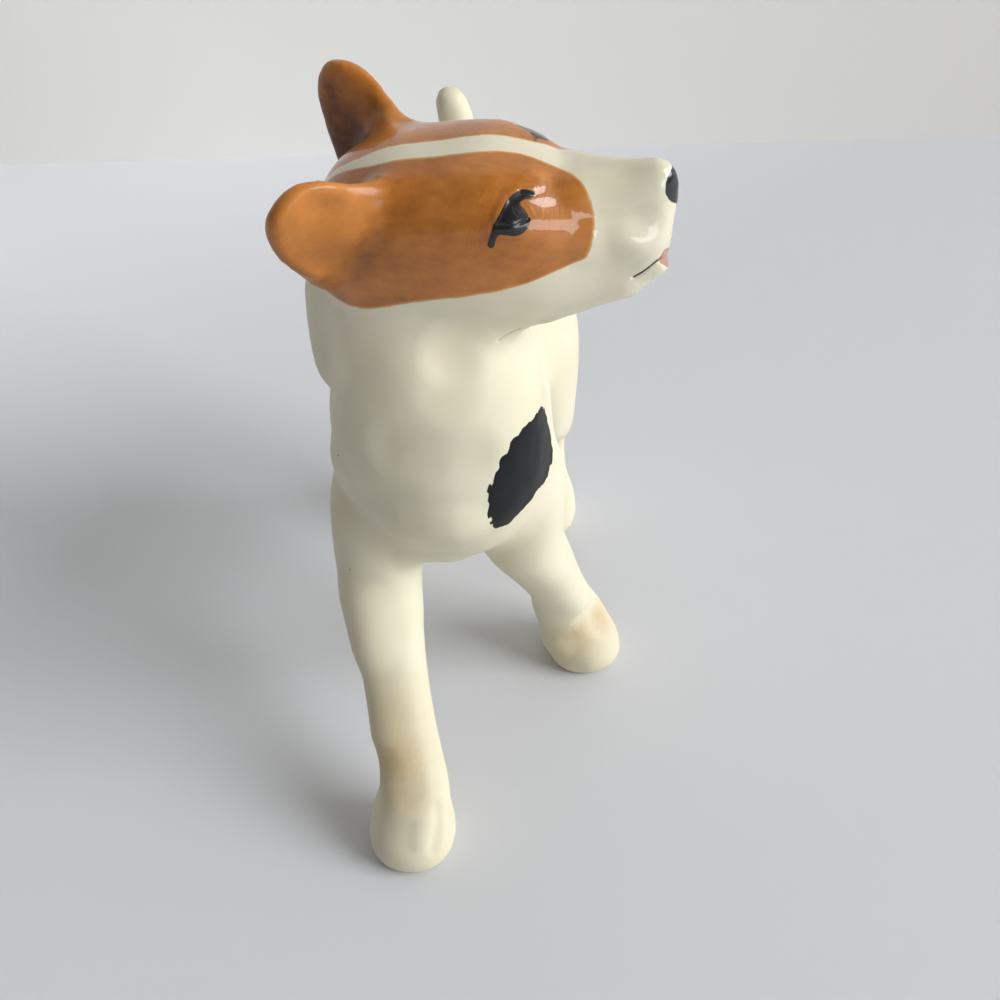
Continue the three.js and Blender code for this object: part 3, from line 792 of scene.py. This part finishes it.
def darkened_brown(local, ear_field):
    """Where the brown is painted darker: painted shade at the ears' roots, on the left ear's back
    and on the right ear's rim, and darker low on the cheek.
    """
    gap = np.minimum(*(distance_to_path(local, path) for path in (EAR_ROOT_SHADE, mirrored(EAR_ROOT_SHADE))))
    ahead = local[:, 0] - DARK_EDGE[0] - (DARK_EDGE[1] - local[:, 2]) * DARK_SLOPE
    back = falling(ahead, *DARK_FADE) * falling(ear_field, *DARK_EAR_FADE)
    cheek = CHEEK_AMOUNT * falling(local[:, 2], *CHEEK_LOW_FADE)
    cheek = cheek * falling(local[:, 0], *CHEEK_BACK_FADE)
    rim = EAR_RIM_AMOUNT * spot(distance_to_path(local, EAR_RIM), EAR_RIM_REACH)
    return np.max([EAR_ROOT_SHADE_AMOUNT * spot(gap, EAR_ROOT_SHADE_REACH), back, cheek, rim], axis=0)


def spray_amount(points):
    """How much tan is sprayed on each point."""
    amount = np.zeros(len(points))
    for at, reach, strength in SPRAYS:
        gap = np.linalg.norm(points - np.array(at), axis=1)
        amount = np.maximum(amount, strength * spot(gap, reach))
    return amount


def push(points, normals, places, path, radius, depth):
    """Moves points near a path along their normals, fading out with distance."""
    share = bell(distance_to_path(places, path), radius)
    return points + normals * (share * depth)[:, None]


def rubbed(points, web):
    """The form rubbed smooth at the front roots of the ears and under the jaw."""
    local = on_head(points)
    gap = np.minimum(*(distance_to_path(local, path) for path in (EAR_ROOTS, mirrored(EAR_ROOTS))))
    weight = SMOOTH_WEIGHT * eased(RUB_FULL - gap / EAR_ROOT_REACH)
    points = web.smooth(points, EAR_ROOT_ROUNDS, weight[:, None])
    weight = SMOOTH_WEIGHT * eased(RUB_FULL - distance_to_path(local, THROAT) / THROAT_REACH)
    return web.smooth(points, THROAT_ROUNDS, weight[:, None])


def bent_ear(points, ear_field):
    """The left ear with its front half bent outwards, so that its back has a ridge."""
    local = on_head(points)
    ahead = local[:, 0] - EAR_RIDGE[0] - (EAR_RIDGE[1] - local[:, 2]) * RIDGE_SLOPE
    ahead = np.clip(ahead, 0, RIDGE_REACH)
    bend = EAR_BEND * ahead ** 2 / (ahead + RIDGE_ROUND) * falling(ear_field, *BEND_FADE)
    way = np.array(BEND_WAY) @ turned_rows()
    return points + bend[:, None] * way


def narrowed(points):
    """The muzzle drawn in towards the nose, as a wedge."""
    local = on_head(points)
    share = rising(local[:, 0], *NARROW_FADE)
    share *= NARROW_SHARE + NARROW_TOP * rising(local[:, 2], *NARROW_TOP_FADE)
    local[:, 1] *= 1 - share * (local[:, 2] > HEAD_LOW)
    return local @ turned_rows() + np.array(HEAD_AT)


def flattened(points):
    """The muzzle with its left side flatter beside the nose, where the window is mirrored."""
    base = points[np.argmin(np.linalg.norm(on_head(points) - FLAT_AT, axis=1))]
    facing = np.array(FLAT_FACING)
    off = (points - base) @ facing
    share = FLAT_SHARE * bell(np.linalg.norm(points - base, axis=1), FLAT_REACH)
    return points - (share * off)[:, None] * facing


def modelled(points, triangles):
    """The skin with the strokes of the modelling tool."""
    for path, radius, depth in HEAD_STROKES + EAR_STROKES:
        for side in (path, mirrored(path)):
            normals = normals_of(points, triangles)
            points = push(points, normals, on_head(points), side, radius, depth)
    for path, radius, depth in BODY_STROKES:
        points = push(points, normals_of(points, triangles), points, path, radius, depth)
    for path, reach, move in SHIFTS:
        share = bell(distance_to_path(on_head(points), path), reach)
        points = points + share[:, None] * np.array(move)
    points = flattened(points)
    for path, stroke in ((JAW_CREASE, CREASE_STROKE), (MOUTH, MOUTH_STROKE)):
        side_view = on_head(points)[:, ::2]
        points = push(points, normals_of(points, triangles), side_view, path, *stroke)
    return points


def vented(points):
    """The belly with the blind end of its vent."""
    gap = np.hypot(points[:, 0] - VENT_AT[0], points[:, 1] - VENT_AT[1])
    share = falling(gap, VENT_RADIUS + VENT_MARGIN, VENT_ROUND)
    belly = np.abs(points[:, 2] - VENT_AT[2]) < VENT_NEAR
    points = points.copy()
    points[:, 2] += np.where(belly, share * VENT_DEPTH, 0)
    return points


def capped(points, triangles, depth):
    """Closes each open rim with a fan of some depth, and gives the way each fan faces."""
    sides = sides_of(triangles)
    keys = sides[:, 0] * len(points) + sides[:, 1]
    back = sides[:, 1] * len(points) + sides[:, 0]
    rim = sides[~np.isin(keys, back)]
    following = {int(a): int(b) for a, b in rim}
    fans = []
    middles = []
    outwards = []
    while following:
        start, point = following.popitem()
        loop = [start, point]
        while point != start:
            point = following.pop(point)
            loop.append(point)
        loop = np.array(loop[:-1])
        rim_points = points[loop]
        middle = rim_points.mean(axis=0)
        spokes = rim_points - middle
        outward = np.cross(np.roll(spokes, -1, axis=0), spokes).sum(axis=0)
        outward = outward / np.linalg.norm(outward)
        hub = np.full(len(loop), len(points) + len(middles))
        fans.append(np.stack([np.roll(loop, -1), loop, hub], 1))
        middles.append(middle - outward * depth)
        outwards.append(outward)
    return np.concatenate([points, middles]), np.concatenate([triangles] + fans), outwards


def skin_piece(name, points, extras, triangles, slot, material):
    """One luted piece of the skin, shaded by the whole skin's normals and closed at its seams."""
    count = len(points)
    points, triangles, outwards = capped(points, triangles, CAP_DEPTHS.get(name, CAP_DEPTH))
    normals = np.concatenate([extras["normal"], outwards])
    piece = placed(f"{name}_skin", mesh_from(f"{name}_skin", points, triangles))
    for key in PAINTS:
        values = np.concatenate([extras[key], np.zeros(len(points) - count)])
        layer = piece.data.attributes.new(key, "FLOAT", "POINT")
        layer.data.foreach_set("value", values.astype(np.float32))
    piece.data.polygons.foreach_set("use_smooth", np.ones(len(triangles), dtype=bool))
    piece.data.normals_split_custom_set_from_vertices(normals.tolist())
    piece.data.materials.append(material)
    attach(piece, "root")
    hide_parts(name)


class Shades:
    """The nodes of one material, by short names."""

    def __init__(self, name, roughness=0.22, coat=COAT, specular=0.25):
        self.material = bpy.data.materials.new(name)
        self.material.use_nodes = True
        self.tree = self.material.node_tree
        self.shader = self.tree.nodes["Principled BSDF"]
        self.surface("Roughness", roughness)
        self.surface("Specular IOR Level", specular)
        self.surface("Coat Weight", coat)
        self.surface("Coat Roughness", COAT_ROUGH)
        self.place = self.node("TexCoord", {}).outputs["Object"]

    def put(self, socket, value):
        """Links a socket to another one, or sets its value or its colour."""
        if isinstance(value, bpy.types.NodeSocket):
            self.tree.links.new(value, socket)
        elif socket.type == "RGBA":
            socket.default_value = (*value, 1)
        else:
            socket.default_value = value

    def surface(self, name, value):
        """Links or sets one input of the material's surface."""
        self.put(self.shader.inputs[name], value)

    def node(self, kind, inputs):
        """A new node with its inputs linked or set."""
        node = self.tree.nodes.new("ShaderNode" + kind)
        for name, value in inputs.items():
            self.put(node.inputs[name], value)
        return node

    def noise(self, size, detail=2.0, roughness=0.5, place=None):
        """Noise whose lumps are about size millimetres across."""
        inputs = {"Vector": place or self.place, "Scale": 1 / (size * MM)}
        inputs |= {"Detail": detail, "Roughness": roughness}
        return self.node("TexNoise", inputs).outputs["Fac"]

    def specks(self, spacing, radius):
        """Rare round specks: cell points that happen to lie at the surface."""
        node = self.node("TexVoronoi", {"Vector": self.place, "Scale": 1 / (spacing * MM)})
        share = radius / spacing
        return self.ramp(node.outputs["Distance"], share, share * 0.7)

    def painted(self, name):
        """What the skin's points carry under a name."""
        node = self.tree.nodes.new("ShaderNodeAttribute")
        node.attribute_name = name
        return node.outputs["Fac"]

    def math(self, operation, first, second=0.0):
        node = self.node("Math", {0: first, 1: second})
        node.operation = operation
        return node.outputs[0]

    def ramp(self, value, low, high, to_low=0.0, to_high=1.0):
        """Value from low to high, eased and mapped to another range."""
        ends = {"From Min": low, "From Max": high, "To Min": to_low, "To Max": to_high}
        node = self.node("MapRange", {"Value": value, **ends})
        node.interpolation_type = "SMOOTHSTEP"
        return node.outputs["Result"]

    def mix(self, share, first, second):
        node = self.tree.nodes.new("ShaderNodeMix")
        node.data_type = "RGBA"
        self.put(node.inputs[0], share)
        self.put(node.inputs[6], first)
        self.put(node.inputs[7], second)
        return node.outputs[2]

    def stretched(self, scale):
        """Object places squeezed along each direction, for streaks."""
        node = self.node("Mapping", {"Vector": self.place, "Scale": scale})
        return node.outputs["Vector"]

    def bump(self, height, depth, below=None):
        """A bump of a height field from 0 to 1, depth millimetres deep."""
        node = self.node("Bump", {"Strength": 1.0, "Distance": depth * MM, "Height": height})
        if below is not None:
            self.put(node.inputs["Normal"], below)
        return node.outputs["Normal"]


def cream_of(shades):
    """White glaze over buff clay: even, with faint clouds, deeper where it pools and where shade is
    painted, with a dark line of painted shade in the jaw's crease.
    """
    clouds = shades.ramp(shades.noise(14, 3.0), 0.1, 0.9, 0, 0.5)
    # Deeper where glaze pools, and where shade is painted
    pooled_and_shaded = shades.ramp(shades.painted("pool"), 0.0, 1.5, 0, 0.25)
    cream = shades.mix(shades.math("ADD", clouds, pooled_and_shaded), CREAM, CREAM_DEEP)
    # A dark line of painted shade in the jaw's crease
    cream = shades.mix(shades.ramp(shades.painted("pool"), 2.6, 4.5, 0, 0.8), cream, BROWN_DARK)
    return shades.mix(shades.specks(6.0, 0.16), cream, BROWN_DARK)


def brown_of(shades, edge=None):
    """Brown under the glaze, brushed on thin: mottled, darker where it pools and under painted
    shade, lighter under painted light and a painted sheen, and lighter towards its edge.
    """
    depth = shades.ramp(shades.noise(2.4, 5.0, 0.65), 0.15, 0.85, -0.3, 0.3)
    broad = shades.ramp(shades.noise(9, 1.0), 0.2, 0.8, -0.3, 0.3)
    streaks = shades.noise(0.8, 2.0, 0.5, shades.stretched((0.3, 1, 1)))
    streaks = shades.ramp(streaks, 0.1, 0.9, -0.15, 0.15)
    # Deeper where glaze pools, darker under the ears' painted shade, and darker low on the cheek
    pooled_and_shaded = shades.ramp(shades.painted("pool"), -1.2, 2.4, -0.25, 0.75)
    for part in (broad, streaks, pooled_and_shaded):
        depth = shades.math("ADD", depth, part)
    brown = shades.mix(shades.ramp(depth, -0.1, 0.9), BROWN, BROWN_DARK)
    brown = shades.mix(shades.ramp(depth, 0.1, -0.7, 0, 0.8), brown, BROWN_LIGHT)
    # Painted light in the right ear's hollow and a painted sheen on the mask's front
    brown = shades.mix(shades.ramp(shades.painted("cup"), 0, 1, 0, 0.4), brown, BROWN_LIGHT)
    if edge is None:
        return brown
    return shades.mix(shades.ramp(edge, -0.42, 0.0, 0, 0.85), brown, BROWN_EDGE)


def glaze_skin(shades, color, rough=GLOSS_ROUGH, wrinkles=None, gloss=None):
    """Sets the colour and the slow waves of a fired glaze."""
    shades.surface("Base Color", color)
    rough = shades.ramp(shades.noise(5.0, 3.0), 0.1, 0.9, rough - 0.08, rough + 0.08)
    if gloss is not None:
        smoother = shades.ramp(gloss, 0, 1, 0, SATIN_ROUGH - GLOSS_ROUGH)
        rough = shades.math("SUBTRACT", rough, smoother)
    shades.surface("Roughness", rough)
    waves = shades.bump(shades.noise(9.0, 1.0), 0.04)
    skin = shades.bump(shades.noise(1.3, 1.0), 0.004, waves)
    if wrinkles is not None:
        skin = shades.bump(wrinkles, WRINKLE_DEPTH, skin)
    shades.surface("Normal", skin)
    return shades.material


def wavering(shades, name, size, amount):
    """A painted edge that wanders, with waves of a size."""
    edge = shades.painted(name)
    return shades.math("ADD", edge, shades.ramp(shades.noise(size), 0, 1, -amount, amount))


def head_glaze():
    """White and brown with the black of the eyes, the nose and the mouth, shining on the face."""
    shades = Shades("head_glaze")
    mask = wavering(shades, "mask", 1.6, 0.1)
    brown = brown_of(shades, mask)
    color = shades.mix(shades.ramp(mask, 0.06, -0.06), cream_of(shades), brown)
    ink = wavering(shades, "ink", 0.5, 0.04)
    color = shades.mix(shades.ramp(ink, 0.04, -0.04), color, BLACK)
    gloss = shades.painted("gloss")
    shades.surface("Coat Weight", shades.ramp(gloss, 0, 1, 0, COAT))
    return glaze_skin(shades, color, SATIN_ROUGH, brush_wrinkles(shades), gloss)


def brush_wrinkles(shades):
    """Fine brush lines in the brown, which run round the eyes."""
    apart = shades.node("SeparateXYZ", {0: shades.place})
    across = shades.math("MULTIPLY", shades.painted("ink"), WRINKLE_RATE)
    along = shades.math("MULTIPLY", apart.outputs["Z"], WRINKLE_WANDER)
    place = shades.node("CombineXYZ", {0: across, 1: along}).outputs[0]
    lines = shades.node("TexNoise", {"Vector": place, "Scale": 1.0, "Detail": 1.5})
    near = shades.ramp(shades.painted("ink"), 6.5, 1.5)
    near = shades.math("MULTIPLY", near, shades.ramp(shades.painted("mask"), -0.3, -1.5))
    return shades.math("MULTIPLY", lines.outputs["Fac"], near)


def ear_glaze():
    """Brown all over, with a softer shine."""
    shades = Shades("ear_glaze", coat=EAR_COAT)
    shades.surface("Coat Roughness", EAR_COAT_ROUGH)
    return glaze_skin(shades, brown_of(shades), EAR_ROUGH)


def body_glaze():
    """Satin white with the ragged black patch, the sprayed tan and the bare clay of the soles."""
    shades = Shades("body_glaze", coat=0.0, specular=0.14)
    ragged = shades.noise(1.1, 0.5, 0.5, shades.stretched((1.0, 1.0, 0.5)))
    patch = shades.math("ADD", shades.painted("patch"), shades.ramp(ragged, 0.25, 0.75, -0.3, 0.3))
    coat = shades.ramp(patch, -0.05, 0.05, 0.0, PATCH_COAT)
    shades.surface("Coat Weight", coat)
    droplets = shades.ramp(shades.noise(1.2, 3.0), 0.2, 0.8, 0.7, 1)
    sprayed = shades.math("MULTIPLY", shades.painted("spray"), droplets)
    color = shades.mix(sprayed, cream_of(shades), TAN)
    color = shades.mix(shades.ramp(patch, 0.05, -0.05), color, PATCH_BLACK)
    color = shades.mix(shades.ramp(shades.painted("bare"), 0.0, 1.0), color, CLAY)
    return glaze_skin(shades, color, SATIN_ROUGH)


def tongue_glaze():
    """Mottled pink."""
    shades = Shades("tongue_glaze")
    return glaze_skin(shades, shades.mix(shades.noise(1.5, 3.0), PINK, PINK_DEEP))


def sheet_material(name, color, painted_light_end, way, stretch):
    """A matt sheet whose colour changes along a way on the ground, over a stretch, as painted light
    and shade.
    """
    shades = Shades(name, roughness=0.6, coat=0.0, specular=0.5)
    apart = shades.node("SeparateXYZ", {0: shades.place})
    along = shades.math("ADD", shades.math("MULTIPLY", apart.outputs["X"], way[0]),
                        shades.math("MULTIPLY", apart.outputs["Y"], way[1]))
    share = shades.ramp(along, stretch[0] * MM, stretch[1] * MM)
    shades.surface("Base Color", shades.mix(share, color, painted_light_end))
    return shades.material


def stage_plane(name, corners, material):
    """A flat sheet of the stage, from its four corners."""
    plane = placed(name, mesh_from(name, corners, [(0, 1, 2, 3)]))
    plane.data.materials.append(material)


def window_light(name, at, size, power):
    """A lamp with a window's shape and colour, turned to the figure."""
    data = bpy.data.lights.new(name, "AREA")
    data.shape = "RECTANGLE"
    data.size, data.size_y = size
    data.energy = power
    data.color = WINDOW_COLOR
    lamp = placed(name, data)
    lamp.location = Vector(at)
    lamp.rotation_euler = (Vector(LIGHT_TARGET) - Vector(at)).to_track_quat("-Z", "Y").to_euler()


def lit_world():
    """The room's own soft light."""
    world = bpy.data.worlds.new("world")
    bpy.context.scene.world = world
    world.use_nodes = True
    background = world.node_tree.nodes["Background"]
    background.inputs["Color"].default_value = (*WORLD_COLOR, 1)
    background.inputs["Strength"].default_value = WORLD_STRENGTH


def build_stage():
    """A pale floor and wall, the window, its nearer pane and the room's light."""
    floor = sheet_material("floor", FLOOR_COLOR, FLOOR_PAINTED_LIGHT_COLOR, FLOOR_WAY, FLOOR_STRETCH)
    corners = [(-STAGE, -STAGE, 0), (STAGE, -STAGE, 0), (STAGE, STAGE, 0), (-STAGE, STAGE, 0)]
    stage_plane("floor", corners, floor)
    wall = sheet_material("wall", WALL_COLOR, WALL_PAINTED_SHADE_COLOR, WALL_WAY, WALL_STRETCH)
    left = WALL_AT - STAGE * WALL_SLOPE
    right = WALL_AT + STAGE * WALL_SLOPE
    corners = [(-STAGE, left, 0), (STAGE, right, 0), (STAGE, right, STAGE), (-STAGE, left, STAGE)]
    stage_plane("wall", corners, wall)
    window_light("window", WINDOW_AT, WINDOW_SIZE, WINDOW_POWER)
    window_light("pane", PANE_AT, PANE_SIZE, PANE_POWER)
    lit_world()


def ear_depth(extras):
    """How deep inside an ear each point lies, negative off the ears."""
    return -np.minimum(extras["ear_left"], extras["ear_right"])


def filling(table, web):
    """How much each point takes part in the filling of the seams."""
    ranked = np.sort(np.stack(list(table.values())), axis=0)
    share = np.clip(SEAM_FULL - (ranked[1] - ranked[0]) / SEAM_WIDTH, 0, 1)
    share = web.smooth(np.minimum(share, ranked[1] < SEAM_WIDTH), SEAM_BLUR)
    for names, kept in THIN_PIECES:
        near = np.min([table[name] for name in names], axis=0) < THIN_REACH
        share *= 1 - (1 - kept) * web.smooth(np.where(near, 1.0, 0.0), THIN_BLUR)
    return share


def clay_skin():
    """One soft skin over all the clay pieces: its points, its seam fields and its triangles."""
    surfaces = surfaces_of_frame()
    points, triangles = grown(*joined_form(surfaces))
    web = Neighbours(len(points), triangles)
    points = web.softened(points, SOFTEN_ROUNDS)
    table = distances_to(surfaces, points, SEAM_WIDTH)
    weight = SMOOTH_WEIGHT * filling(table, web)
    points = web.filled(points, triangles, weight[:, None])
    points = rubbed(points, web)
    extras = {name: web.smooth(seam_field(table, name), FIELD_BLUR) for name in SKIN_NODES[1:]}
    ears = eased(ear_depth(extras) / EAR_EDGE)
    points += (web.softened(points, EAR_ROUNDS) - points) * ears[:, None]
    extras["tongue"] -= TONGUE_GAIN
    return points, extras, triangles


def near_lines(points, reach):
    """Marks the points within a reach of the ink's edges and of the jaw's crease."""
    local = on_head(points)
    near = np.abs(ink_distance(local)) < reach
    return near | (distance_to_path(local[:, ::2], JAW_CREASE) < reach)


def near_forms(points, extras):
    """Marks the points on the ears and near the mask's edge, the patch's edge and the vent."""
    near = ear_depth(extras) > -EAR_REACH
    near |= np.abs(mask_distance(on_head(points))) < MASK_REACH
    near |= np.abs(patch_distance(points)) < PATCH_REACH
    from_vent = np.hypot(*(points[:, :2] - VENT_AT[:2]).T)
    return near | (np.abs(from_vent - VENT_RADIUS) < VENT_REACH)


def finer_skin(points, extras, triangles):
    """The skin with its triangles halved once or twice where its forms and colours are fine."""
    wanted = near_lines(points, LINE_REACHES[0]) | near_forms(points, extras)
    normals = normals_of(points, triangles)
    points, extras, triangles = refined(points, normals, extras, triangles, wanted)
    wanted = near_lines(points, LINE_REACHES[1])
    return refined(points, normals_of(points, triangles), extras, triangles, wanted)


def worked_skin(points, extras, triangles):
    """The skin as the maker's hands leave it, standing flat on its soles."""
    points = modelled(bent_ear(narrowed(points), extras["ear_left"]), triangles)
    weight = SMOOTH_WEIGHT * eased(ear_depth(extras) / EAR_EDGE)
    web = Neighbours(len(points), triangles)
    points = vented(web.smooth(points, EAR_POLISH_ROUNDS, weight[:, None]))
    points[:, 2] = np.where(points[:, 2] < SOLE_CUT, 0, points[:, 2])
    return points, extras, triangles


def painted_skin(points, extras, triangles):
    """The skin with its normals and its paint at each point."""
    normals = normals_of(points, triangles)
    web = Neighbours(len(points), triangles)
    hollow = ((web.smooth(points, HOLLOW_ROUNDS) - points) * normals).sum(axis=1)
    local = on_head(points)
    crease = distance_to_path(local[:, ::2], JAW_CREASE)
    # Glaze pooled in hollows, with painted shade added in the jaw's crease and on the brown
    pool = web.smooth(np.clip(hollow / HOLLOW_DEEP, -1, 1), HOLLOW_BLUR)
    pool += CREASE_AMOUNT * np.clip(1 - crease / CREASE_HALF, 0, 1)
    pool += BROWN_AMOUNT * darkened_brown(local, extras["ear_left"])
    mask = mask_distance(local)
    # Painted light in the right ear's hollow and a painted sheen on the mask's front
    right_ear_light = rising(ear_depth(extras), *LIT_EAR_FADE) * (local[:, 1] < 0)
    on_muzzle = rising(local[:, 0], *GLOSS_MUZZLE_FADE) * (local[:, 2] > MUZZLE_LOW)
    paints = {
        "mask": mask,
        "ink": ink_distance(local),
        "patch": np.where(points[:, 0] > 0, patch_distance(points), NO_PATCH),
        "spray": spray_amount(points),
        "pool": pool,
        "bare": np.clip(1 - points[:, 2] / BARE_HEIGHT, 0, 1) ** 2,
        "cup": np.maximum(right_ear_light, FRONT_SHEEN * rising(local[:, 0], *FRONT_SHEEN_FADE)),
        "gloss": np.maximum(falling(mask, *GLOSS_MASK_FADE), on_muzzle),
    }
    return points, {**extras, **paints, "normal": normals}, triangles


def kept_skin(points, extras, triangles, keep):
    """The triangles that keep marks, with only their points and what those carry."""
    points, triangles, used = kept_part(points, triangles, keep)
    return points, {key: value[used] for key, value in extras.items()}, triangles


def part_skin(points, extras, triangles):
    """Cuts the skin along its seams, and makes a closed piece of each part."""
    glazes = {
        "head": head_glaze(), "ear": ear_glaze(), "tongue": tongue_glaze(), "body": body_glaze()
    }
    for name in SKIN_NODES[:0:-1]:
        *skin, inside = cut_along(points, extras, triangles, extras[name])
        slot = SLOTS.get(name, "white_glaze")
        glaze = glazes.get(name.split("_")[0], glazes["body"])
        skin_piece(name, *kept_skin(*skin, inside), slot, glaze)
        points, extras, triangles = kept_skin(*skin, ~inside)
    skin_piece("torso", points, extras, triangles, "white_glaze", glazes["body"])


place_camera()
skin = worked_skin(*finer_skin(*clay_skin()))
part_skin(*painted_skin(*skin))
build_stage()
bpy.context.scene.view_settings.view_transform = "Standard"
